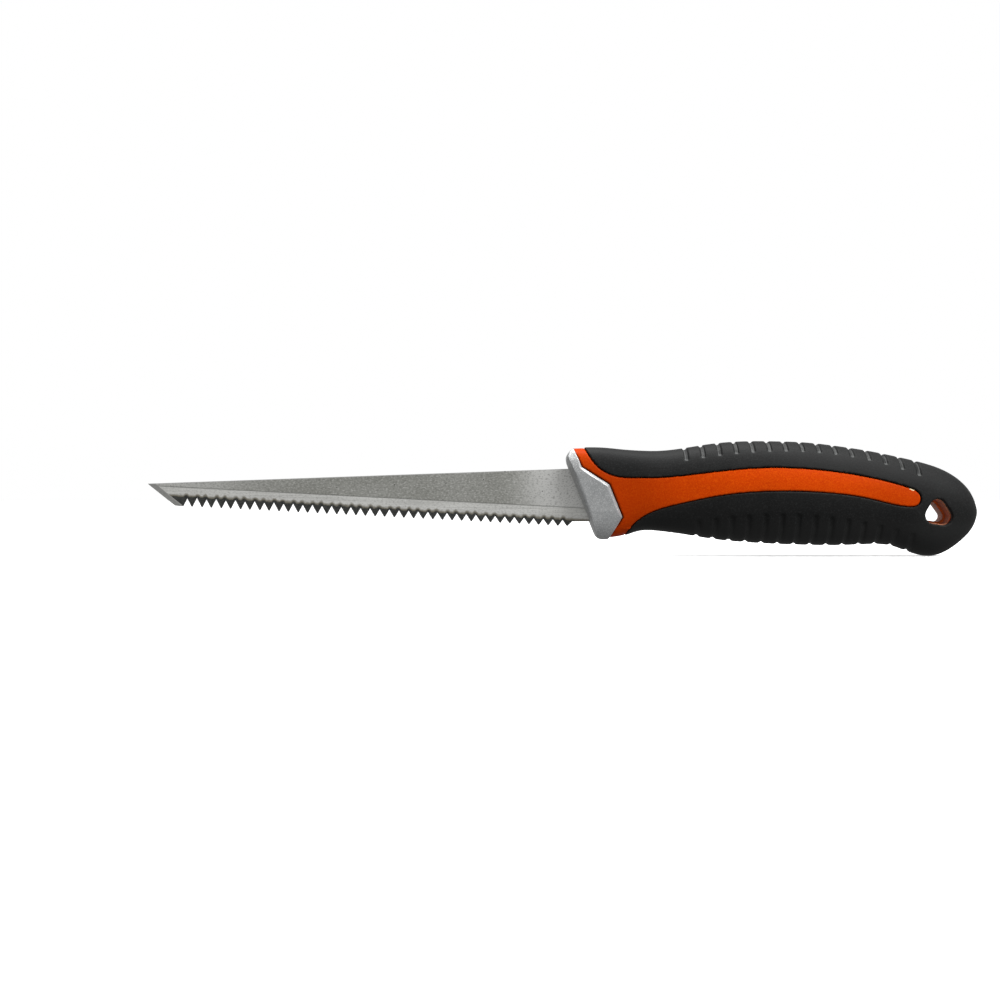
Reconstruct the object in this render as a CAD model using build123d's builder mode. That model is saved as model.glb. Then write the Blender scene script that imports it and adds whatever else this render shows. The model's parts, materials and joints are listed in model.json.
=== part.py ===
"""Drywall jab saw: a tapered steel blade in a moulded handle of two core halves, a bolster and a soft grip.

X runs along the saw, with the blade towards -X and the handle towards +X.
Z is up in the plane of the blade, with the teeth facing -Z. Y is across the saw, and Y = 0 halves the blade.
The origin is on the line through the tang, under the middle of the palm.
"""
import os
from math import hypot

from build123d import *

os.makedirs("parts", exist_ok=True)

# ---------------------------------------------------------------- blade and teeth (mm)
blade_thickness = 1.2
blade_tip = (-236.5, 6.2)  # point where the back meets the plunge edge
back_heel = (-70.0, 12.1)  # back edge where the blade enters the handle
plunge_foot = (-226.1, -2.1)  # lower end of the sharpened plunge edge
tooth_line_start = (-224.2, -2.3)
tooth_line_slope = -0.052
heel_edge_z = -8.1  # plain edge between the last tooth and the bolster
gullet_count = 40
gullet_pitch = 3.655
first_gullet_x = -221.4
first_gullet_depth = 3.8
last_gullet_depth = 2.6
gullet_skew = 0.30  # sideways shift of a gullet from mid-plane to face: the fleam of the teeth
gullet_overrun = 1.5  # size of the V that cuts a gullet, in gullets, so that it runs past the tips
ground_band = 7.2  # height of the thinned band above the tooth tips
ground_taper = 0.15  # metal ground off each face at the tooth tips
plunge_bevel = 1.9  # width of the sharpening on each face of the plunge edge
plunge_land = 0.06  # thickness left at the plunge edge
plunge_overrun = 2.4  # how far the sharpening runs on past the plunge edge's foot
blade_setback = 5.5  # how far behind the bolster's front the blade narrows to the tang
tang_shoulder_z = 9.5  # height of the back edge where it narrows

# ---------------------------------------------------------------- tang and its pins (mm)
tang_centre_z = 1.5
tang_height = 13.0
tang_start_x = (-64.5, -61.0)  # where the tang's upper and lower edges start
tang_end_x = -8.0
tang_rounding = 4.0
tang_clearance = 0.05
pin_radius = 2.0
pin_length = 13.0
pin_chamfer = 0.4
pin_places = ((-50.0, 1.5), (-24.0, 1.5))

# ---------------------------------------------------------------- handle (mm)
grip_wall = 2.4  # soft grip over the core
window_recess = 0.3  # how far the bare core lies below the grip's surface
core_wall = 2.6
rib_thickness = 1.8
rib_pitch = 12.5
cavity_span = (-2.0, 48.0)
peg_radius = 2.0
peg_length = 3.0
peg_root = 1.0  # how deep in the left half each peg starts
peg_places = ((-5.8, 13.0), (51.0, -6.0))
socket_clearance = 0.1

# Cross-sections from the nose to the butt: place, crest, belly, half width, and how square the section is.
stations = (
    (-86.0, 20.0, -14.4, 10.2, 0.84),
    (-78.0, 20.0, -14.4, 10.2, 0.84),
    (-70.0, 20.0, -14.4, 10.2, 0.84),
    (-62.0, 19.8, -14.5, 10.2, 0.83),
    (-56.0, 19.2, -13.7, 10.3, 0.80),
    (-50.0, 18.8, -11.8, 10.7, 0.76),
    (-42.0, 18.7, -11.8, 11.0, 0.72),
    (-33.0, 19.7, -13.0, 11.5, 0.68),
    (-22.0, 21.4, -14.8, 12.4, 0.64),
    (-10.0, 22.3, -16.0, 13.3, 0.62),
    (2.0, 22.3, -16.7, 13.9, 0.62),
    (14.0, 21.8, -17.1, 14.0, 0.62),
    (26.0, 20.4, -17.2, 13.7, 0.62),
    (37.0, 18.7, -16.8, 13.1, 0.62),
    (46.0, 16.9, -17.4, 12.3, 0.62),
    (54.0, 15.1, -20.2, 11.5, 0.62),
    (61.0, 13.2, -21.2, 10.7, 0.62),
    (67.0, 10.7, -19.2, 9.6, 0.60),
    (72.0, 7.3, -15.6, 7.9, 0.58),
    (75.5, 3.4, -12.1, 5.7, 0.56),
    (77.5, -0.7, -8.5, 3.3, 0.55),
    (78.3, -3.2, -6.0, 1.4, 0.55),
)
butt_start = 54.0  # from here the sections close in to the rounded butt

# ---------------------------------------------------------------- grooves of the grip (mm)
groove_width = 1.7
groove_depth = 0.7
crest_grooves = 15
crest_groove_start = -32.7
crest_groove_pitch = 6.23
groove_corner = 0.35  # rounding of the grooves' inner ends
crest_groove_end = 18.1  # highest inner end of a crest groove, and how fast the ends drop away from it
crest_groove_top = 4.0
crest_groove_arch = 0.0029
crest_groove_lean = 0.000012
belly_grooves = 14
belly_groove_start = -28.1
belly_groove_pitch = 6.14
belly_groove_top = -5.2  # highest point that the longest belly groove reaches
belly_groove_arch = 0.0029  # how fast the grooves shorten towards the ends
belly_groove_middle = 1.0

# ---------------------------------------------------------------- bolster (mm)
front_top = (-77.3, 16.8)  # front edge of the bolster's side face
front_bottom = (-65.8, -14.2)
front_bulge = 1.3  # how far the front face stands forward at the blade
chin_bulge = 0.2
front_rounding = 1.3
brow_radius = 5.2  # rounding of the front's upper corner, seen from the side
chin_radius = 2.5
bolster_crest = 20.2
bolster_belly = -15.0
bolster_proud = 0.5
bolster_half_width = 10.5
bolster_bevel = 0.9
bolster_gap = 0.45  # shadow line between the bolster and the core
bolster_cheek = 2.8
bolster_front_wall = 3.2
nose_crest = 15.0  # core's nose inside the bolster
nose_belly = -11.0
nose_end_x = -50.0
nose_half_width = bolster_half_width - bolster_cheek
nose_clearance = 0.05
slot_clearance = 0.1

# ---------------------------------------------------------------- hang hole (mm)
hole_corners = ((61.2, -2.8), (63.5, -6.2), (59.5, -5.6))
hole_radius_right = 2.05  # rounding of the right half's hole, straight through
hole_radius_left = 2.8  # rounding of the left half's wider hole, at the parting plane
hole_radius_grip = 3.0
hole_draft = 1.5  # degrees, widening outwards

wide = 40.0  # reach of a cut that goes right through
long = 200.0  # reach of a cut that runs along the whole blade


def section_plane(x):
    """Plane across the saw at x, with its own x along Y and its own y along Z."""
    return Plane(origin=(x, 0, 0), x_dir=(0, 1, 0), z_dir=(1, 0, 0))


def handle_body(inset):
    """Solid inside the handle's surface: each cross-section is four curves, drawn in by inset all round."""
    with BuildPart() as body:
        for x, crest, belly, half_width, square in stations:
            shrink = min(inset, 0.6 * half_width)
            top, bottom, side = crest - shrink, belly + shrink, half_width - shrink
            middle = (top + bottom) / 2
            reach = square * (top - middle)
            towards_end = max(0.0, x - butt_start) / (stations[-1][0] - butt_start)
            with BuildSketch(section_plane(x - inset * towards_end**2)):
                with BuildLine():
                    Bezier((0, top), (square * side, top), (side, middle + reach), (side, middle))
                    Bezier((side, middle), (side, middle - reach), (square * side, bottom), (0, bottom))
                    Bezier((0, bottom), (-square * side, bottom), (-side, middle - reach), (-side, middle))
                    Bezier((-side, middle), (-side, middle + reach), (-square * side, top), (0, top))
                make_face()
        loft()
    return body.part


def core_window():
    """Side view of all that the soft grip leaves bare: the head, and the stripe along the palm."""
    with BuildSketch(Plane.XZ) as window:
        with BuildLine():
            Spline(
                (-71.6, 22.8),
                (-68.9, 16.5),
                (-65.2, 12.0),
                (-60.0, 9.3),
                (-52.0, 8.5),
                (-39.2, 8.8),
                (-26.4, 10.2),
                (-3.3, 12.2),
                (17.5, 11.3),
                (36.1, 8.4),
                (50.3, 4.7),
                (53.8, 2.8),
                (54.7, 0.2),
                (53.2, -2.2),
                (50.3, -2.7),
                (36.1, 0.0),
                (17.5, 2.6),
                (-3.3, 3.0),
                (-19.9, 1.5),
                (-35.5, -1.7),
                (-46.6, -5.2),
                (-51.5, -8.5),
                (-55.0, -13.0),
                (-57.0, -18.0),
            )
            Polyline((-57.0, -18.0), (-95.0, -18.0), (-95.0, 22.8), (-71.6, 22.8))
        make_face()
    return window.sketch


def bolster_outline(gap):
    """Side view of the bolster, grown by gap, running on past the crest, the belly and the front."""
    with BuildSketch(Plane.XZ) as outline:
        with BuildLine():
            Polyline(
                (-76.5, 23.0),
                (-72.0, 12.3),
                (-61.7, 5.8),
                (-56.8, -6.35),
                (-61.3, -14.0),
                (-64.2, -19.0),
                (-100.0, -19.0),
                (-100.0, 23.0),
                close=True,
            )
        make_face()
        if gap:
            offset(amount=gap, kind=Kind.INTERSECTION)
    return outline.sketch


def front_point(z, setback):
    """Point of the bolster's front edge at height z, moved back into the handle by setback along X."""
    (top_x, top_z), (bottom_x, bottom_z) = front_top, front_bottom
    share = (z - top_z) / (bottom_z - top_z)
    return (top_x + share * (bottom_x - top_x) + setback, z)


def blade_profile(clearance):
    """Side view of the blade and tang without its teeth; clearance grows the part inside the handle."""
    tooth_line_end = first_gullet_x + gullet_pitch * (gullet_count - 0.5)
    heel_tip = (tooth_line_end, tooth_line_z(tooth_line_end))
    tang_top = tang_centre_z + tang_height / 2
    tang_bottom = tang_centre_z - tang_height / 2
    top_start_x, bottom_start_x = tang_start_x
    with BuildSketch(Plane.XZ) as profile:
        with BuildLine():
            Polyline(
                blade_tip,
                back_heel,
                front_point(tang_shoulder_z, blade_setback),
                (top_start_x, tang_top),
                (tang_end_x, tang_top),
                (tang_end_x, tang_bottom),
                (bottom_start_x, tang_bottom),
                front_point(heel_edge_z, blade_setback),
                (heel_tip[0] + gullet_pitch / 2, heel_edge_z),
                heel_tip,
                tooth_line_start,
                plunge_foot,
                close=True,
            )
        make_face()
        tang_corners = profile.vertices().sort_by(Axis.X)[-2:]
        fillet(tang_corners, radius=tang_rounding)
        if clearance:
            offset(amount=clearance)
    return profile.sketch


def tooth_line_z(x):
    """Height of the line through the tooth tips."""
    return tooth_line_start[1] + tooth_line_slope * (x - tooth_line_start[0])


def blade_holes():
    """Side view of the tang's pin holes."""
    with BuildSketch(Plane.XZ) as holes:
        with Locations(*pin_places):
            Circle(pin_radius + tang_clearance)
    return holes.sketch


def nose_outline(clearance):
    """Side view of the core's nose, which fills the pocket in the bolster but for a clearance."""
    setback = bolster_front_wall + clearance
    with BuildSketch(Plane.XZ) as nose:
        with BuildLine():
            Polyline(
                front_point(nose_crest - clearance, setback),
                (nose_end_x, nose_crest - clearance),
                (nose_end_x, nose_belly + clearance),
                front_point(nose_belly + clearance, setback),
                close=True,
            )
        make_face()
    return nose.sketch


def bolster_block():
    """The bolster's outline as a block across the saw, with its two rims bevelled."""
    straight = bolster_half_width - bolster_bevel
    with BuildPart() as block:
        extrude(bolster_outline(0), amount=straight, both=True)
        for side in (1, -1):
            rim = bolster_outline(0).moved(Location((0, side * straight, 0)))
            extrude(rim, amount=-side * 2 * bolster_bevel, taper=45)
    return block.part


def groove_slots():
    """Upright slots that cut the grooves over the crest and under the belly."""
    with BuildSketch(Plane.XZ) as slots:
        for index in range(crest_grooves):
            x = crest_groove_start + index * crest_groove_pitch
            arch = crest_groove_arch + crest_groove_lean * x
            low = crest_groove_end - arch * (x - crest_groove_top) ** 2
            with Locations((x, low + wide / 2)):
                RectangleRounded(groove_width, wide, groove_corner)
        for index in range(belly_grooves):
            x = belly_groove_start + index * belly_groove_pitch
            high = belly_groove_top - belly_groove_arch * (x - belly_groove_middle) ** 2
            with Locations((x, high - wide / 2)):
                RectangleRounded(groove_width, wide, groove_corner)
    with BuildPart() as block:
        extrude(slots.sketch, amount=wide, both=True)
    return block.part


def hole_sketch(radius):
    """Rounded triangle of the hang hole."""
    with BuildSketch(Plane.XZ) as hole:
        with BuildLine():
            Polyline(*hole_corners, close=True)
        make_face()
        offset(amount=radius)
    return hole.sketch


# ---------------------------------------------------------------- blade
half_blade = blade_thickness / 2

with BuildPart() as blade:
    extrude(blade_profile(0), amount=half_blade, both=True)

    # The band above the teeth is ground thinner towards the tooth tips.
    with BuildSketch(
        Plane(
            origin=(tooth_line_start[0], 0, tooth_line_start[1]),
            x_dir=(0, 1, 0),
            z_dir=(1, 0, tooth_line_slope),
        )
    ):
        below = last_gullet_depth  # the cut runs on past the tooth tips
        taper_below = ground_taper * (1 + below / ground_band)
        for side in (1, -1):
            with BuildLine():
                Polyline(
                    (side * half_blade, ground_band),
                    (side * wide, ground_band),
                    (side * wide, -below),
                    (side * (half_blade - taper_below), -below),
                    close=True,
                )
            make_face()
    extrude(amount=long, both=True, mode=Mode.SUBTRACT)

    # The slanted plunge edge is ground from both faces.
    plunge_run = Vector(plunge_foot[0] - blade_tip[0], 0, plunge_foot[1] - blade_tip[1])
    with BuildSketch(Plane(origin=(blade_tip[0], 0, blade_tip[1]), x_dir=(0, 1, 0), z_dir=plunge_run)):
        for side in (1, -1):
            with BuildLine():
                Polyline(
                    (side * half_blade, plunge_bevel),
                    (side * wide, plunge_bevel),
                    (side * wide, -plunge_bevel),
                    (side * plunge_land / 2, -plunge_bevel),
                    (side * plunge_land / 2, 0),
                    close=True,
                )
            make_face()
    extrude(amount=plunge_run.length + plunge_overrun, mode=Mode.SUBTRACT)
    extrude(blade_holes(), amount=wide, both=True, mode=Mode.SUBTRACT)

    # Skewed V-gullets, leaning alternately, leave the ground teeth between them.
    for index in range(gullet_count):
        x = first_gullet_x + index * gullet_pitch
        depth = first_gullet_depth + (last_gullet_depth - first_gullet_depth) * index / (gullet_count - 1)
        lean = gullet_skew / half_blade * (-1) ** index
        spread = gullet_overrun * gullet_pitch / 2 / hypot(1, lean)
        foot = (1 - gullet_overrun) * depth
        with BuildSketch(Plane(origin=(x, 0, tooth_line_z(x)), x_dir=(1, -lean, 0), z_dir=(-lean, -1, 0))):
            with BuildLine():
                Polyline((0, depth), (spread, foot), (-spread, foot), close=True)
            make_face()
        extrude(amount=2 * blade_thickness, both=True, mode=Mode.SUBTRACT)
blade.part.label = "blade"
export_step(blade.part, "parts/blade.step")

# ---------------------------------------------------------------- tang pins
with BuildPart() as tang_pins:
    with BuildSketch(Plane.XZ):
        with Locations(*pin_places):
            Circle(pin_radius)
    extrude(amount=pin_length / 2, both=True)
    chamfer(tang_pins.edges().filter_by(GeomType.CIRCLE), length=pin_chamfer)
tang_pins.part.label = "tang_pins"
export_step(tang_pins.part, "parts/tang_pins.step")

# ---------------------------------------------------------------- bolster
with BuildPart() as bolster:
    add(handle_body(-bolster_proud))
    add(bolster_block(), mode=Mode.INTERSECT)

    # Side view of the front, with its rounded brow and chin.
    with BuildSketch(Plane.XZ) as front_outline:
        with BuildLine():
            Polyline(
                front_point(bolster_crest, -front_bulge),
                front_point(bolster_belly, -chin_bulge),
                (nose_end_x, bolster_belly),
                (nose_end_x, bolster_crest),
                close=True,
            )
        make_face()
        fillet(front_outline.vertices().sort_by(Axis.X)[0], radius=brow_radius)
        fillet(front_outline.vertices().group_by(Axis.Y)[0].sort_by(Axis.X)[0], radius=chin_radius)
    extrude(amount=wide, both=True, mode=Mode.INTERSECT)

    # Seen along the front edge, the front is a blunt wedge with rounded corners and flat cheeks.
    front_line = Vector(front_bottom[0] - front_top[0], 0, front_bottom[1] - front_top[1])
    forward = front_line.cross(Vector(0, -1, 0))
    front_origin = (front_top[0], 0, front_top[1])
    with BuildSketch(Plane(origin=front_origin, x_dir=forward, z_dir=front_line)) as wedge:
        with BuildLine():
            Polyline(
                (-wide, -bolster_half_width),
                (0, -bolster_half_width),
                (front_bulge, -half_blade),
                (front_bulge, half_blade),
                (0, bolster_half_width),
                (-wide, bolster_half_width),
                close=True,
            )
        make_face()
        fillet(wedge.vertices().sort_by_distance(front_origin)[:4], radius=front_rounding)
    extrude(amount=2 * wide, both=True, mode=Mode.INTERSECT)

    # Pocket for the core's nose, and the slot for the blade.
    extrude(nose_outline(0), amount=nose_half_width, both=True, mode=Mode.SUBTRACT)
    extrude(blade_profile(slot_clearance), amount=half_blade + tang_clearance, both=True, mode=Mode.SUBTRACT)
bolster.part.label = "bolster"
export_step(bolster.part, "parts/bolster.step")

# ---------------------------------------------------------------- core, in two halves
with BuildPart() as bare_head:
    add(handle_body(window_recess))
    extrude(core_window(), amount=wide, both=True, mode=Mode.INTERSECT)

with BuildPart() as hollow:
    add(handle_body(grip_wall + core_wall))
    with BuildSketch(section_plane(cavity_span[0])):
        Rectangle(2 * wide, 2 * wide)
    extrude(amount=cavity_span[1] - cavity_span[0], mode=Mode.INTERSECT)
    rib_count = int((cavity_span[1] - cavity_span[0]) / rib_pitch)
    for rib in range(1, rib_count + 1):
        with BuildSketch(section_plane(cavity_span[0] + rib * rib_pitch)):
            Rectangle(2 * wide, 2 * wide)
        extrude(amount=rib_thickness / 2, both=True, mode=Mode.SUBTRACT)

with BuildPart() as core_nose:
    extrude(nose_outline(nose_clearance), amount=nose_half_width - nose_clearance, both=True)
    extrude(core_window(), amount=wide, both=True, mode=Mode.INTERSECT)

with BuildPart() as core:
    add(handle_body(grip_wall))
    add(bare_head.part)

    # The core stops behind the bolster, with a shadow gap round its two cheeks.
    extrude(bolster_outline(nose_clearance), amount=wide, both=True, mode=Mode.SUBTRACT)
    for side in (1, -1):
        rim = bolster_outline(bolster_gap).moved(Location((0, side * nose_half_width, 0)))
        extrude(rim, amount=-side * wide, mode=Mode.SUBTRACT)

    add(core_nose.part)
    add(hollow.part, mode=Mode.SUBTRACT)
    extrude(blade_profile(slot_clearance), amount=half_blade + tang_clearance, both=True, mode=Mode.SUBTRACT)
    with BuildSketch(Plane.XZ):
        with Locations(*pin_places):
            Circle(pin_radius)
    extrude(amount=pin_length / 2, both=True, mode=Mode.SUBTRACT)
    extrude(hole_sketch(hole_radius_right), amount=wide, both=True, mode=Mode.SUBTRACT)

with BuildPart() as handle_core_left:
    add(core.part)
    split(bisect_by=Plane.XZ, keep=Keep.TOP)
    extrude(hole_sketch(hole_radius_left), amount=wide, taper=-hole_draft, mode=Mode.SUBTRACT)
    with BuildSketch(Plane.XZ.offset(peg_root)):
        with Locations(*peg_places):
            Circle(peg_radius)
    extrude(amount=-peg_root - peg_length)
handle_core_left.part.label = "handle_core_left"
export_step(handle_core_left.part, "parts/handle_core_left.step")

with BuildPart() as handle_core_right:
    add(core.part)
    split(bisect_by=Plane.XZ, keep=Keep.BOTTOM)
    with BuildSketch(Plane.XZ):
        with Locations(*peg_places):
            Circle(peg_radius + socket_clearance)
    extrude(amount=-peg_length - 2 * socket_clearance, mode=Mode.SUBTRACT)
handle_core_right.part.label = "handle_core_right"
export_step(handle_core_right.part, "parts/handle_core_right.step")

# ---------------------------------------------------------------- soft grip
with BuildPart() as grip_grooves:
    add(handle_body(-groove_depth))
    add(handle_body(groove_depth), mode=Mode.SUBTRACT)
    add(groove_slots(), mode=Mode.INTERSECT)

with BuildPart() as grip_overmould:
    add(handle_body(0))
    add(handle_body(grip_wall), mode=Mode.SUBTRACT)
    extrude(core_window(), amount=wide, both=True, mode=Mode.SUBTRACT)
    extrude(
        hole_sketch(hole_radius_grip), amount=wide, both=True, taper=-hole_draft, mode=Mode.SUBTRACT
    )
    add(grip_grooves.part, mode=Mode.SUBTRACT)
grip_overmould.part.label = "grip_overmould"
export_step(grip_overmould.part, "parts/grip_overmould.step")
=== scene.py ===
"""Looks of the fixed-blade drywall saw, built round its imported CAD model.

Everything is in metres, in the CAD's frame: X along the saw with the blade towards -X, Z up in the
plane of the blade with the teeth facing -Z, Y across the saw.
"""

import json
import math

import bmesh
import bpy
import numpy as np
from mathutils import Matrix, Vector
from mathutils.bvhtree import BVHTree


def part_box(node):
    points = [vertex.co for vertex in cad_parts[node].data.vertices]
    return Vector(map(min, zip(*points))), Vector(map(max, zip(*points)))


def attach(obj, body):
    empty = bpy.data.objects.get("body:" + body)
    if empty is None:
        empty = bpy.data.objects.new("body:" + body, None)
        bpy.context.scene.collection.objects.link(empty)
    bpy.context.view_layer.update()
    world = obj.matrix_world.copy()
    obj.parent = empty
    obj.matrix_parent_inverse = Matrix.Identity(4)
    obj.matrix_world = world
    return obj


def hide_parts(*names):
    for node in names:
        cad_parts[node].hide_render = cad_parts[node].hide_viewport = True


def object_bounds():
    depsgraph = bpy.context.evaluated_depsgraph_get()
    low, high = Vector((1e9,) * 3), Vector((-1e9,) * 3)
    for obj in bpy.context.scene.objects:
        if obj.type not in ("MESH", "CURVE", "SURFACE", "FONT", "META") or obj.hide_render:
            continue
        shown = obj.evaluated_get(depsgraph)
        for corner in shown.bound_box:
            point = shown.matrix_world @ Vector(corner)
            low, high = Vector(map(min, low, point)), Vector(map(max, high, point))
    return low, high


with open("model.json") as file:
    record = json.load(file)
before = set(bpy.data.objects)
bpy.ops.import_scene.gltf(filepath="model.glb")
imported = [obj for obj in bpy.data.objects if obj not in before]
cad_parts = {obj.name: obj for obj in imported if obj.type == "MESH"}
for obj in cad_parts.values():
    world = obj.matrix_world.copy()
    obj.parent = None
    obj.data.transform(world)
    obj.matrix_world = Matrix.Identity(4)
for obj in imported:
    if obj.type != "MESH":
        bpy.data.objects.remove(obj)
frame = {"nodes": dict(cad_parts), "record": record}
cad_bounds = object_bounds()

MM = 0.001

# ---------------------------------------------------------------- sizes the looks need (m)
blade_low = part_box("blade")[0]
saw_low, saw_high = (Vector(corner) for corner in cad_bounds)

# Blade
TOOTH_LINE_SLOPE = -0.052  # fall of the line through the tooth tips, per metre of X
LAST_TOOTH_X = -77.0 * MM
FIRST_GULLET_X = -221.4 * MM
TOOTH_PITCH = 3.655 * MM
GULLET_COUNT = 40
FIRST_GULLET_DEPTH = 3.8 * MM
LAST_GULLET_DEPTH = 2.6 * MM
GULLET_LEAN = 0.5  # how far a gullet shifts along X for each metre across the blade
GROUND_BAND = 7.2 * MM  # height of the thinned band above the tooth tips
BLADE_TIP_Z = 6.2 * MM  # height of the point, where the back meets the plunge edge
BACK_RISE = 5.9 * MM  # how much higher the back edge ends, at the handle, than it starts at the point
BACK_LENGTH = 166.5 * MM
PLUNGE_RUN = Vector((10.4, -8.3)).normalized()  # direction of the plunge edge from the point, in X and Z
PLUNGE_BEVEL = 1.9 * MM
HEEL_HIGHLIGHT_X = (-102 * MM, -82 * MM)  # painted highlight: the face is painted brighter over this stretch, towards the bolster
TIP_HIGHLIGHT_X = (-228 * MM, -185 * MM)  # and over this one, towards the point

# Handle
HOLE = next(mount for mount in frame["record"]["mounts"] if mount["name"] == "hang_hole")["pos_m"]
HOLE_REACH = 5.5 * MM  # the hole's walls lie within this distance of its axis
HEAD_SHADE_X = (-52 * MM, -22 * MM)  # painted shade: the orange is painted darker ahead of this stretch
STRIPE_END_SHADE_X = (22 * MM, 50 * MM)  # and a little painted shade past this one
PALE_SPOT_PLACE = (51.0 * MM, 4.05 * MM)  # pale spot on the stripe's upper edge, in X and Z
PALE_SPOT_SIZE = (1.2 * MM, 0.5 * MM)
PALE_SPOT_LEAN = 0.9  # so that it follows the stripe's edge, which falls towards the butt
CREST_HIGHLIGHT_Z = (2.0 * MM, 8.0 * MM)  # painted highlight: the crest's groove floors are painted pale, from these heights up
CREST_FLOOR = (-0.16 * MM, -0.08 * MM)  # relief of those floors, and where the painted highlight ends
BELLY_LIGHT_Z = (-13 * MM, -5 * MM)  # painted light: the grip is painted a little paler below these heights
BELLY_GROOVE_LIGHT_Z = (-11.0 * MM, -8.5 * MM)  # and painted light makes the belly's groove floors paler below these
BELLY_FLOOR = (-0.12 * MM, -0.03 * MM)
HEAD_END = -36.0 * MM  # the grip's thin front edge, ahead of this, keeps its outline

# Meshes built in place of CAD nodes
HANDLE_VOXEL = 0.32 * MM
BOLSTER_VOXEL = 0.16 * MM
CRUMB_VERTICES = 100  # a loose scrap with fewer vertices is deleted
GRIP_PASSES = 3
BELLY_PASSES = 14  # the grooves under the palm are softer than the crest's
BELLY_SOFT_FROM = -2.0 * MM
BELLY_SOFT_OVER = 3.0 * MM
RELIEF_PASSES = 40  # smooths the copy that the grooves' depth is measured from
CORE_PASSES = 1
BOLSTER_PASSES = 2
SEAM_WIDTH = 0.55 * MM
SEAM_DEPTH = 0.4 * MM

# Studio
FLOOR_HEIGHT = saw_low.z
FLOOR_RADIUS = 20.0
FLOOR_RINGS = (0.02, 0.1, 0.4, 1.0)  # shares of the radius
FLOOR_GLOW = 0.45  # strength of the floor's own light
KEY_OFFSET = Vector((0.85, -0.8, 1.15))  # from the middle of the saw
KEY_ENERGY = 3.25
KEY_ANGLE = 40  # degrees
TOP_OFFSET = Vector((0.05, 0.12, 0.7))
TOP_ENERGY = 7.5
TOP_SIZE = (0.8, 0.3)
CAMERA_X = -0.1026
CAMERA_DISTANCE = 0.6
SENSOR = 36.0  # mm, as Blender's lens sizes are
VIEW_WIDTH = 0.38  # width seen at the plane of the blade


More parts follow.
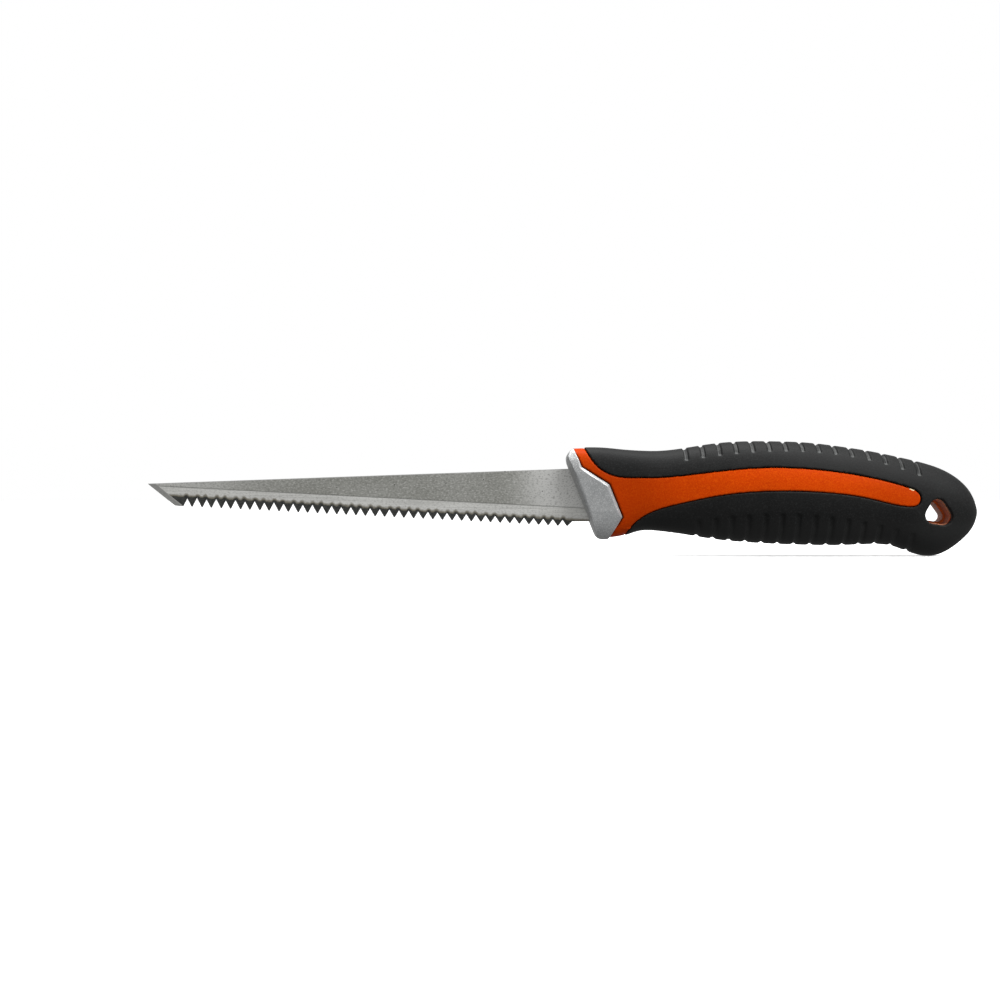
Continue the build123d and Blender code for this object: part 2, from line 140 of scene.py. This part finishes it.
# ---------------------------------------------------------------- building materials
class Look:
    """A procedural material and short calls for the nodes that these materials use."""

    def __init__(self, name, metallic=0.0):
        self.material = bpy.data.materials.new(name)
        self.material.use_nodes = True
        self.tree = self.material.node_tree
        self.shader = self.tree.nodes["Principled BSDF"]
        self.shader.inputs["Metallic"].default_value = metallic
        self.place = self.node("ShaderNodeTexCoord").outputs["Object"]
        axes = self.node("ShaderNodeSeparateXYZ", Vector=self.place)
        self.x, self.y, self.z = axes.outputs
        self.normal = None

    def node(self, kind, settings=None, **inputs):
        """New node with its settings, and its inputs linked or set by name."""
        made = self.tree.nodes.new(kind)
        for key, value in (settings or {}).items():
            setattr(made, key, value)
        for key, value in inputs.items():
            self.feed(made.inputs[key], value)
        return made

    def feed(self, socket, value):
        """Link value to the socket if it is another node's output, and set it otherwise."""
        if isinstance(value, bpy.types.NodeSocket):
            self.tree.links.new(value, socket)
        elif isinstance(value, tuple) and len(value) == 3 and socket.type == "RGBA":
            socket.default_value = (*value, 1.0)
        else:
            socket.default_value = value

    def math(self, operation, *values):
        """Result of a Math node on the values."""
        made = self.tree.nodes.new("ShaderNodeMath")
        made.operation = operation
        for socket, value in zip(made.inputs, values):
            self.feed(socket, value)
        return made.outputs[0]

    def band(self, value, low, high, start=0.0, end=1.0):
        """start where value is below low, end where it is above high, and a smooth step between."""
        made = self.node("ShaderNodeMapRange", {"interpolation_type": "SMOOTHSTEP"})
        for key, number in (("Value", value), ("From Min", low), ("From Max", high)):
            self.feed(made.inputs[key], number)
        made.inputs["To Min"].default_value = start
        made.inputs["To Max"].default_value = end
        return made.outputs["Result"]

    def noise(self, size, detail=2.0, stretch=(1.0, 1.0, 1.0), roughness=0.5):
        """Noise whose features are about size across, drawn out by stretch along each axis."""
        scaled = self.node("ShaderNodeMapping", Vector=self.place)
        scaled.inputs["Scale"].default_value = [1.0 / (size * amount) for amount in stretch]
        made = self.node("ShaderNodeTexNoise", Vector=scaled.outputs[0], Scale=1.0)
        made.inputs["Detail"].default_value = detail
        made.inputs["Roughness"].default_value = roughness
        return made.outputs["Fac"]

    def cells(self, size):
        """Random value from 0 to 1 for each cell of a pattern of cells about size across."""
        made = self.node("ShaderNodeTexVoronoi", Vector=self.place)
        made.inputs["Scale"].default_value = 1.0 / size
        split = self.node("ShaderNodeSeparateColor", Color=made.outputs["Color"])
        return split.outputs[0]

    def pits(self, spacing, radius):
        """1 inside small round pits scattered over the XZ plane, and 0 outside."""
        flat = self.node("ShaderNodeCombineXYZ", X=self.x, Y=self.z)
        made = self.node("ShaderNodeTexVoronoi", {"voronoi_dimensions": "2D"}, Vector=flat.outputs[0])
        made.inputs["Scale"].default_value = 1.0 / spacing
        edge = radius / spacing
        return self.band(made.outputs["Distance"], 0.7 * edge, 1.2 * edge, 1.0, 0.0)

    def spot(self, place, size, lean, side):
        """1 inside one leaning oval at a place in X and Z, on one side of the saw, and 0 outside."""
        across = self.math("DIVIDE", self.math("SUBTRACT", self.x, place[0]), size[0])
        up = self.math("DIVIDE", self.math("SUBTRACT", self.z, place[1]), size[1])
        slant = self.math("ADD", up, self.math("MULTIPLY", across, lean))
        inside = self.band(self.square_sum(across, slant), 0.5, 1.0, 1.0, 0.0)
        on_side = self.band(self.math("MULTIPLY", self.y, side), 1 * MM, 2 * MM)
        return self.math("MULTIPLY", inside, on_side)

    def square_sum(self, one, other):
        """Square of one plus square of other."""
        return self.math("ADD", self.math("MULTIPLY", one, one), self.math("MULTIPLY", other, other))

    def mix(self, factor, first, second):
        """Colour that goes from first to second as factor goes from 0 to 1."""
        made = self.tree.nodes.new("ShaderNodeMix")
        made.data_type = "RGBA"
        first_socket, second_socket = (socket for socket in made.inputs if socket.type == "RGBA")
        self.feed(made.inputs[0], factor)
        self.feed(first_socket, first)
        self.feed(second_socket, second)
        return next(socket for socket in made.outputs if socket.type == "RGBA")

    def bump(self, height, distance):
        """Add relief: height from 0 to 1 stands for distance metres."""
        made = self.node("ShaderNodeBump", Height=height, Distance=distance)
        if self.normal is not None:
            self.tree.links.new(self.normal, made.inputs["Normal"])
        self.normal = made.outputs["Normal"]

    def finish(self, colour, roughness):
        """Give the shader its colour, its roughness and all the relief."""
        self.feed(self.shader.inputs["Base Color"], colour)
        self.feed(self.shader.inputs["Roughness"], roughness)
        if self.normal is not None:
            self.tree.links.new(self.normal, self.shader.inputs["Normal"])
        return self.material


def orange_plastic():
    """Moulded orange core: satin and grained, with painted shade towards the head and the stripe's end, a
    pale spot on the stripe, and painted reflection in the hang hole.
    """
    look = Look("core_orange")
    look.shader.inputs["Specular IOR Level"].default_value = 0.03
    cloud = look.noise(9 * MM, detail=3)
    grain = look.noise(0.45 * MM, detail=2, roughness=0.6)
    colour = look.mix(look.band(cloud, 0.3, 0.7), (0.52, 0.042, 0.0002), (0.57, 0.047, 0.0003))
    colour = look.mix(look.band(grain, 0.40, 0.72, 0.0, 0.5), colour, (0.78, 0.110, 0.0015))
    colour = look.mix(look.band(grain, 0.28, 0.42, 0.4, 0.0), colour, (0.46, 0.034, 0.0003))
    # Painted shade: the orange is painted darker towards the head and past the stripe's end.
    head_shade = look.band(look.x, *HEAD_SHADE_X, 0.5, 0.0)
    stripe_end_shade = look.band(look.x, *STRIPE_END_SHADE_X, 0.0, 0.25)
    colour = look.mix(look.math("ADD", head_shade, stripe_end_shade), colour, (0.26, 0.020, 0.0001))
    # A pale spot on the stripe's upper edge.
    pale_spot = look.spot(PALE_SPOT_PLACE, PALE_SPOT_SIZE, PALE_SPOT_LEAN, side=-1)
    colour = look.mix(pale_spot, colour, (0.85, 0.68, 0.42))

    # Painted reflection on the hole's walls: a brownish sheen in the near half, and a pale one in the far
    # half.
    off_x = look.math("SUBTRACT", look.x, HOLE[0])
    off_z = look.math("SUBTRACT", look.z, HOLE[2])
    reach = look.math("SQRT", look.square_sum(off_x, off_z))
    in_hole = look.band(reach, HOLE_REACH, HOLE_REACH + 0.3 * MM, 1.0, 0.0)
    wall = look.mix(look.band(look.y, -0.1 * MM, 0.3 * MM), (0.60, 0.29, 0.175), (0.82, 0.71, 0.65))
    wall = look.mix(look.band(grain, 0.35, 0.6, 0.35, 0.0), wall, (0.60, 0.17, 0.06))
    parting = look.band(look.math("ABSOLUTE", look.y), 0.1 * MM, 0.3 * MM, 0.8, 0.0)
    wall = look.mix(parting, wall, (0.75, 0.17, 0.01))
    colour = look.mix(look.math("MULTIPLY", in_hole, 0.85), colour, wall)

    look.bump(look.noise(0.3 * MM, detail=3), 0.03 * MM)
    look.bump(cloud, 0.03 * MM)
    return look.finish(colour, look.band(grain, 0.3, 0.7, 0.38, 0.52))


def soft_grip():
    """Black soft grip: a dry matte grain, with smoother floors in the grooves, a painted highlight on the
    crest's groove floors and painted light on the underside.
    """
    look = Look("grip_black")
    look.shader.inputs["Specular IOR Level"].default_value = 0.10
    look.shader.inputs["Sheen Weight"].default_value = 0.03
    look.shader.inputs["Sheen Roughness"].default_value = 0.3
    bloom = look.noise(14 * MM, detail=4)
    fine = look.noise(0.45 * MM, detail=3, roughness=0.6)
    colour = look.mix(look.band(bloom, 0.35, 0.7), (0.0075, 0.0077, 0.0077), (0.0100, 0.0102, 0.0101))
    colour = look.mix(look.band(fine, 0.48, 0.68, 0.0, 0.6), colour, (0.024, 0.025, 0.025))
    # Painted light: the grip's underside is painted paler.
    colour = look.mix(look.band(look.z, *BELLY_LIGHT_Z, 0.65, 0.0), colour, (0.0210, 0.0214, 0.0212))
    relief = look.node("ShaderNodeAttribute", {"attribute_name": "relief"}).outputs["Fac"]
    # Painted highlight: the crest's groove floors are painted pale on the upper part, where light falls;
    # they are also smoother.
    above = look.band(look.z, *CREST_HIGHLIGHT_Z)
    crest_floor_gloss_and_highlight = look.math("MULTIPLY", look.band(relief, *CREST_FLOOR, 1.0, 0.0), above)
    colour = look.mix(crest_floor_gloss_and_highlight, colour, (0.070, 0.072, 0.071))
    # Painted light: the belly's groove floors are painted paler towards the bottom.
    below = look.band(look.z, *BELLY_GROOVE_LIGHT_Z, 1.0, 0.0)
    belly_floor_light = look.math("MULTIPLY", look.band(relief, *BELLY_FLOOR, 0.7, 0.0), below)
    colour = look.mix(belly_floor_light, colour, (0.026, 0.0265, 0.026))
    look.bump(look.noise(0.22 * MM, detail=3), 0.03 * MM)
    look.bump(look.noise(0.7 * MM, detail=2), 0.03 * MM)
    rough = look.band(fine, 0.25, 0.75, 0.5, 0.64)
    rough = look.math("SUBTRACT", rough, look.math("MULTIPLY", crest_floor_gloss_and_highlight, 0.12))
    return look.finish(colour, rough)


def bolster_silver():
    """Silver-painted bolster: satin, with metal flake under the lacquer."""
    look = Look("bolster_silver", metallic=0.5)
    flake = look.cells(0.28 * MM)
    speck = look.cells(0.2 * MM)
    cloud = look.noise(6 * MM, detail=3)
    base = look.mix(look.band(cloud, 0.3, 0.7), (0.335, 0.343, 0.345), (0.385, 0.393, 0.393))
    colour = look.mix(look.band(flake, 0.5, 1.0, 0.0, 0.4), base, (0.72, 0.73, 0.73))
    colour = look.mix(look.band(speck, 0.0, 0.4, 0.4, 0.0), colour, (0.17, 0.175, 0.18))
    look.bump(flake, 0.012 * MM)
    look.bump(cloud, 0.02 * MM)
    return look.finish(colour, look.band(speck, 0.0, 1.0, 0.5, 0.3))


def dark_height(look):
    """Height of the dark teeth above their tips: it hugs the gullets, which lean to alternate sides."""
    steps = look.math("DIVIDE", look.math("SUBTRACT", look.x, FIRST_GULLET_X), TOOTH_PITCH)
    gullet = look.math("MINIMUM", look.math("MAXIMUM", look.math("ROUND", steps), 0), GULLET_COUNT - 1)
    side = look.math("COSINE", look.math("MULTIPLY", gullet, math.pi))
    lean = look.math("MULTIPLY", look.math("MULTIPLY", side, look.y), GULLET_LEAN)
    centre = look.math("ADD", look.math("MULTIPLY", gullet, TOOTH_PITCH), FIRST_GULLET_X)
    off_centre = look.math("ABSOLUTE", look.math("SUBTRACT", look.math("SUBTRACT", look.x, centre), lean))
    depth = look.band(gullet, 0, GULLET_COUNT - 1, FIRST_GULLET_DEPTH, LAST_GULLET_DEPTH)
    hug = look.band(off_centre, 0.2 * MM, 1.3 * MM, 0.40 * MM, -0.25 * MM)
    wobble = look.math("MULTIPLY", look.math("SUBTRACT", look.noise(1.6 * MM, detail=3), 0.5), 1.0 * MM)
    return look.math("ADD", look.math("ADD", depth, hug), wobble)


def plunge_distance(look):
    """Distance from the plunge edge into the blade, in the XZ plane."""
    along_x = look.math("MULTIPLY", look.math("SUBTRACT", look.x, blade_low.x), -PLUNGE_RUN[1])
    along_z = look.math("MULTIPLY", look.math("SUBTRACT", look.z, BLADE_TIP_Z), PLUNGE_RUN[0])
    return look.math("ADD", along_x, along_z)


def blade_steel():
    """Blade: a speckled face with painted highlights towards the heel, the point and along the back edge,
    a bright ground band, a grey plunge bevel and dark hardened teeth.
    """
    look = Look("blade_steel", metallic=0.8)
    drop = look.math("MULTIPLY", look.math("SUBTRACT", look.x, LAST_TOOTH_X), TOOTH_LINE_SLOPE)
    above_tips = look.math("SUBTRACT", look.math("SUBTRACT", look.z, blade_low.z), drop)
    rise = look.math("MULTIPLY", look.math("SUBTRACT", look.x, blade_low.x), BACK_RISE / BACK_LENGTH)
    below_back = look.math("SUBTRACT", look.math("ADD", rise, BLADE_TIP_Z), look.z)
    above_dark = look.math("SUBTRACT", above_tips, dark_height(look))

    scratch = look.noise(0.16 * MM, detail=3, stretch=(14, 1, 1))
    speckle = look.noise(0.55 * MM, detail=4, stretch=(1.6, 1, 1), roughness=0.7)
    streak = look.noise(0.35 * MM, detail=2, stretch=(60, 1, 1))
    cloud = look.noise(16 * MM, detail=3, stretch=(2, 1, 1))

    face = look.mix(look.band(scratch, 0.3, 0.7), (0.305, 0.307, 0.280), (0.40, 0.402, 0.370))
    face = look.mix(look.band(cloud, 0.35, 0.7, 0.0, 0.3), face, (0.50, 0.50, 0.48))
    # Painted highlight: the face is painted brighter towards the bolster and towards the point.
    heel_highlight = look.band(look.x, *HEEL_HIGHLIGHT_X, 0.0, 0.85)
    tip_highlight = look.band(look.x, *TIP_HIGHLIGHT_X, 0.5, 0.0)
    face = look.mix(look.math("ADD", heel_highlight, tip_highlight), face, (0.80, 0.80, 0.78))
    face = look.mix(look.band(speckle, 0.38, 0.49, 0.50, 0.0), face, (0.20, 0.20, 0.182))
    face = look.mix(look.band(speckle, 0.52, 0.64, 0.0, 0.55), face, (0.68, 0.68, 0.655))
    ground = look.mix(look.band(streak, 0.3, 0.7), (0.64, 0.64, 0.61), (0.80, 0.80, 0.77))
    ground = look.mix(look.band(speckle, 0.38, 0.49, 0.45, 0.0), ground, (0.40, 0.40, 0.385))
    ground = look.mix(look.band(speckle, 0.54, 0.66, 0.0, 0.4), ground, (0.92, 0.92, 0.90))
    bevel = look.mix(look.band(scratch, 0.3, 0.7), (0.38, 0.38, 0.365), (0.50, 0.50, 0.485))

    edge_of_band = look.math("SUBTRACT", above_tips, GROUND_BAND)
    colour = look.mix(look.band(edge_of_band, -0.08 * MM, 0.08 * MM, 1.0, 0.0), face, ground)
    border = look.band(look.math("ABSOLUTE", edge_of_band), 0.05 * MM, 0.3 * MM, 0.6, 0.0)
    colour = look.mix(border, colour, (0.15, 0.15, 0.14))
    fringe = look.band(above_dark, 0.1 * MM, 1.2 * MM, 0.9, 0.0)
    colour = look.mix(fringe, colour, (0.170, 0.150, 0.105))
    tooth = look.mix(look.band(speckle, 0.4, 0.6), (0.043, 0.045, 0.043), (0.078, 0.080, 0.077))
    colour = look.mix(look.band(above_dark, -0.25 * MM, 0.2 * MM, 1.0, 0.0), colour, tooth)
    past_bevel = look.math("SUBTRACT", plunge_distance(look), PLUNGE_BEVEL)
    colour = look.mix(look.band(past_bevel, -0.06 * MM, 0.06 * MM, 1.0, 0.0), colour, bevel)
    # Painted highlight: a bright line along the back edge.
    back_edge_highlight = look.band(below_back, 0.2 * MM, 0.4 * MM, 0.7, 0.0)
    colour = look.mix(back_edge_highlight, colour, (0.62, 0.62, 0.61))
    on_face = look.band(edge_of_band, 0.3 * MM, 0.7 * MM)
    pits = look.math("MULTIPLY", look.pits(13 * MM, 0.2 * MM), on_face)
    colour = look.mix(pits, colour, (0.03, 0.03, 0.03))

    look.bump(scratch, 0.008 * MM)
    look.bump(speckle, 0.012 * MM)
    look.bump(streak, 0.006 * MM)
    rough = look.band(look.math("ADD", speckle, look.math("MULTIPLY", cloud, 0.5)), 0.5, 1.0, 0.36, 0.5)
    return look.finish(colour, rough)


def pin_steel():
    """Turned pins, hidden in the handle: bright, with faint turning marks."""
    look = Look("pin_steel", metallic=1.0)
    marks = look.noise(0.15 * MM, detail=2, stretch=(1, 12, 1))
    colour = look.mix(look.band(marks, 0.3, 0.7), (0.42, 0.42, 0.42), (0.55, 0.55, 0.54))
    look.bump(marks, 0.01 * MM)
    return look.finish(colour, roughness=0.35)


def studio_pale():
    """Matte pale floor with a little light of its own, like a light table, so that shadows stay pale."""
    look = Look("studio_pale")
    look.shader.inputs["Emission Color"].default_value = (1.0, 1.0, 1.0, 1.0)
    look.shader.inputs["Emission Strength"].default_value = FLOOR_GLOW
    mottle = look.noise(60 * MM, detail=3)
    colour = look.mix(mottle, (0.78, 0.78, 0.78), (0.80, 0.80, 0.80))
    return look.finish(colour, roughness=0.9)


# ---------------------------------------------------------------- pieces
def dress(piece, material):
    """Give the piece this one material."""
    piece.data.materials.clear()
    piece.data.materials.append(material)


def settle(piece):
    """Apply the piece's modifiers to its mesh."""
    evaluated = piece.evaluated_get(bpy.context.evaluated_depsgraph_get())
    mesh = bpy.data.meshes.new_from_object(evaluated)
    piece.modifiers.clear()
    piece.data = mesh


def drop_crumbs(mesh):
    """Delete the specks, joined to nothing, that the rebuilding leaves in the thinnest corners."""
    work = bmesh.new()
    work.from_mesh(mesh)
    crumbs = []
    for start in work.verts:
        if start.tag:
            continue
        start.tag = True
        part = [start]
        for vertex in part:
            for edge in vertex.link_edges:
                neighbour = edge.other_vert(vertex)
                if not neighbour.tag:
                    neighbour.tag = True
                    part.append(neighbour)
        if len(part) < CRUMB_VERTICES:
            crumbs += part
    bmesh.ops.delete(work, geom=crumbs, context="VERTS")
    work.to_mesh(mesh)
    work.free()


def even_copy(name, node, voxel):
    """Copy of a CAD node's mesh, rebuilt in small even faces."""
    piece = bpy.data.objects.new(name, frame["nodes"][node].data.copy())
    bpy.context.scene.collection.objects.link(piece)
    remesh = piece.modifiers.new("even faces", "REMESH")
    remesh.mode = "VOXEL"
    remesh.voxel_size = voxel
    settle(piece)
    drop_crumbs(piece.data)
    return piece


def soften(piece, passes, weights=None):
    """Smooth the piece's mesh, by the weight of each vertex if there are weights."""
    smooth = piece.modifiers.new("soft edges", "SMOOTH")
    smooth.factor = 0.5
    smooth.iterations = passes
    if weights is not None:
        group = piece.vertex_groups.new(name="soft")
        for index, weight in enumerate(weights):
            if weight > 0:
                group.add([index], weight, "REPLACE")
        smooth.vertex_group = group.name
    settle(piece)


def points_of(mesh):
    """The mesh's vertex positions as rows of x, y, z."""
    values = np.zeros(len(mesh.vertices) * 3, np.float32)
    mesh.vertices.foreach_get("co", values)
    return values.reshape(-1, 3)


def normals_of(mesh):
    """The mesh's vertex normals as rows of x, y, z."""
    values = np.zeros(len(mesh.vertices) * 3, np.float32)
    mesh.vertex_normals.foreach_get("vector", values)
    return values.reshape(-1, 3)


def mark_relief(piece, passes):
    """Note at each vertex how far it stands above (+) or below (-) a smoothed copy of the surface."""
    copy = bpy.data.objects.new("smoothed copy", piece.data.copy())
    bpy.context.scene.collection.objects.link(copy)
    soften(copy, passes)
    shift = points_of(piece.data) - points_of(copy.data)
    height = (shift * normals_of(piece.data)).sum(axis=1)
    bpy.data.objects.remove(copy)
    relief = piece.data.attributes.new("relief", "FLOAT", "POINT")
    relief.data.foreach_set("value", height.astype(np.float32))


def sink_seam(piece, neighbour, width, depth):
    """Sink the piece's surface in a narrow channel along its border with a neighbour."""
    tree = BVHTree.FromObject(neighbour, bpy.context.evaluated_depsgraph_get())
    for vertex, normal in zip(piece.data.vertices, normals_of(piece.data)):
        nearest, _, _, distance = tree.find_nearest(vertex.co, width)
        if nearest is not None:
            vertex.co -= Vector(normal) * depth * (1 - distance / width) ** 0.5


def show(piece, node, material):
    """Show the piece in place of a CAD node."""
    piece.data.name = piece.name
    piece.data.shade_smooth()
    dress(piece, material)
    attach(piece, "root")
    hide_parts(node)


grip = even_copy("soft_grip", "grip_overmould", HANDLE_VOXEL)
soften(grip, GRIP_PASSES)
places = points_of(grip.data)
below = np.clip((BELLY_SOFT_FROM - places[:, 2]) / BELLY_SOFT_OVER, 0, 1)
behind_head = np.clip((places[:, 0] - HEAD_END) / BELLY_SOFT_OVER, 0, 1)
soften(grip, BELLY_PASSES, below * behind_head)
mark_relief(grip, RELIEF_PASSES)
show(grip, "grip_overmould", soft_grip())

orange = orange_plastic()
for name, node in (("core_near_half", "handle_core_left"), ("core_far_half", "handle_core_right")):
    half = even_copy(name, node, HANDLE_VOXEL)
    soften(half, CORE_PASSES)
    sink_seam(half, grip, SEAM_WIDTH, SEAM_DEPTH)
    soften(half, CORE_PASSES)
    show(half, node, orange)

cap = even_copy("bolster_cap", "bolster", BOLSTER_VOXEL)
soften(cap, BOLSTER_PASSES)
show(cap, "bolster", bolster_silver())

dress(frame["nodes"]["blade"], blade_steel())
dress(frame["nodes"]["tang_pins"], pin_steel())


# ---------------------------------------------------------------- studio
def round_floor(name, radius, material):
    """Large plain disc under the saw, with closer rings near it."""
    steps_round = 96
    rings = [radius * share for share in FLOOR_RINGS]
    points = [(0.0, 0.0, FLOOR_HEIGHT)]
    for ring in rings:
        for step in range(steps_round):
            turn = step / steps_round * 2 * math.pi
            points.append((ring * math.cos(turn), ring * math.sin(turn), FLOOR_HEIGHT))
    faces = []
    for step in range(steps_round):
        following = (step + 1) % steps_round
        faces.append((0, 1 + step, 1 + following))
        for index in range(len(rings) - 1):
            inner = 1 + index * steps_round
            outer = inner + steps_round
            faces.append((inner + step, outer + step, outer + following, inner + following))
    mesh = bpy.data.meshes.new(name)
    mesh.from_pydata(points, [], faces)
    piece = bpy.data.objects.new(name, mesh)
    bpy.context.scene.collection.objects.link(piece)
    dress(piece, material)
    piece.visible_diffuse = False  # the floor lights nothing: the saw's underside stays in shade,
    piece.visible_glossy = False  # and has no white floor mirrored in it


def add_light(name, kind, place, target, energy):
    """Light of one kind at place, facing target."""
    lamp = bpy.data.lights.new(name, kind)
    lamp.energy = energy
    piece = bpy.data.objects.new(name, lamp)
    bpy.context.scene.collection.objects.link(piece)
    piece.location = place
    piece.rotation_euler = (Vector(target) - Vector(place)).to_track_quat("-Z", "Y").to_euler()
    return lamp


def studio_world(seen, lit_below, lit_above):
    """Plain white surroundings, full where they are seen and dimmer as a light, dimmest from below."""
    world = bpy.data.worlds.new("studio")
    world.use_nodes = True
    tree = world.node_tree
    background = tree.nodes["Background"]
    background.inputs["Color"].default_value = (1.0, 1.0, 1.0, 1.0)
    path = tree.nodes.new("ShaderNodeLightPath")
    direction = tree.nodes.new("ShaderNodeTexCoord")
    axes = tree.nodes.new("ShaderNodeSeparateXYZ")
    tree.links.new(direction.outputs["Generated"], axes.inputs["Vector"])
    lit = tree.nodes.new("ShaderNodeMapRange")
    lit.inputs["From Min"].default_value = -1.0
    lit.inputs["To Min"].default_value = lit_below
    lit.inputs["To Max"].default_value = lit_above
    tree.links.new(axes.outputs["Z"], lit.inputs["Value"])
    strength = tree.nodes.new("ShaderNodeMapRange")
    strength.inputs["To Max"].default_value = seen
    tree.links.new(lit.outputs["Result"], strength.inputs["To Min"])
    tree.links.new(path.outputs["Is Camera Ray"], strength.inputs["Value"])
    tree.links.new(strength.outputs["Result"], background.inputs["Strength"])
    bpy.context.scene.world = world


round_floor("floor", FLOOR_RADIUS, studio_pale())
middle = (saw_low + saw_high) / 2
key = add_light("key", "SUN", middle + KEY_OFFSET, middle, KEY_ENERGY)
key.angle = math.radians(KEY_ANGLE)
top = add_light("top_softbox", "AREA", middle + TOP_OFFSET, middle, TOP_ENERGY)
top.shape = "RECTANGLE"
top.size, top.size_y = TOP_SIZE
studio_world(seen=1.0, lit_below=0.36, lit_above=0.50)
bpy.context.scene.view_settings.view_transform = "Standard"

# ---------------------------------------------------------------- camera
camera_data = bpy.data.cameras.new("camera")
camera_data.sensor_width = SENSOR
camera_data.lens = SENSOR * CAMERA_DISTANCE / VIEW_WIDTH
camera_data.clip_start = 0.01
camera = bpy.data.objects.new("camera", camera_data)
bpy.context.scene.collection.objects.link(camera)
camera.location = (CAMERA_X, -CAMERA_DISTANCE, 0.0)
camera.rotation_euler = (math.radians(90), 0, 0)
bpy.context.scene.camera = camera
